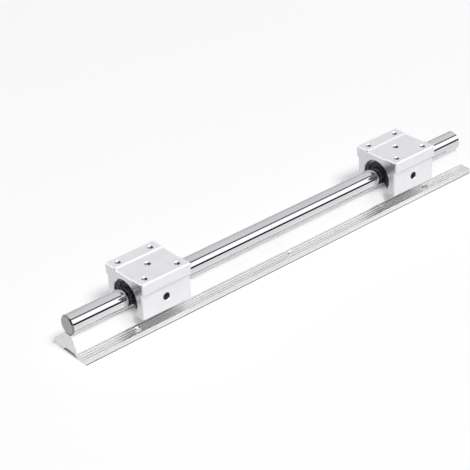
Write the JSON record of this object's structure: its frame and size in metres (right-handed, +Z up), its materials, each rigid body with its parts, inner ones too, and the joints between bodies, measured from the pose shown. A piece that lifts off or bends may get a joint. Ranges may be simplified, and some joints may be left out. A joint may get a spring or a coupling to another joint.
{
  "type": "supported round rail",
  "caption": "Straight linear rail: a hardened round shaft carried along its whole length by an extruded aluminium base, with open ball bushing carriages that slide on it.",
  "frame": {"origin": "on the underside of the base, at the middle of its length and width", "axes": "+X along the shaft from the near carriage to the far carriage, +Y across the base away from the set screws, +Z up from the base to the carriages' tops"},
  "size_m": [0.4, 0.045, 0.045],
  "materials": {
    "support_aluminium": "extruded, clear anodised",
    "shaft_steel": "ground and polished",
    "housing_aluminium": "satin anodised",
    "sleeve_steel": "ground",
    "retainer_plastic": "moulded",
    "seal_rubber": "matt black",
    "ring_steel": "dark phosphated",
    "screw_steel": "black oxide"
  },
  "bodies": {
    "rail": {"support_rail": "support_aluminium", "round_shaft": "shaft_steel", "shaft_screw_1": "screw_steel", "shaft_screw_2": "screw_steel", "shaft_screw_3": "screw_steel"},
    "near_carriage": {"near_housing": "housing_aluminium", "near_sleeve": "sleeve_steel", "near_retainer": "retainer_plastic", "near_set_screw": "screw_steel", "near_front_seal": "seal_rubber", "near_front_snap_ring": "ring_steel", "near_rear_seal": "seal_rubber", "near_rear_snap_ring": "ring_steel"},
    "far_carriage": {"far_housing": "housing_aluminium", "far_sleeve": "sleeve_steel", "far_retainer": "retainer_plastic", "far_set_screw": "screw_steel", "far_front_seal": "seal_rubber", "far_front_snap_ring": "ring_steel", "far_rear_seal": "seal_rubber", "far_rear_snap_ring": "ring_steel"}
  },
  "joints": [
    {"name": "near_carriage_slide", "type": "slide", "parent": "rail", "child": "near_carriage", "axis": [1, 0, 0], "range_m": [-0.052, 0.102]},
    {"name": "far_carriage_slide", "type": "slide", "parent": "rail", "child": "far_carriage", "axis": [1, 0, 0], "range_m": [-0.108, 0.046]}
  ]
}
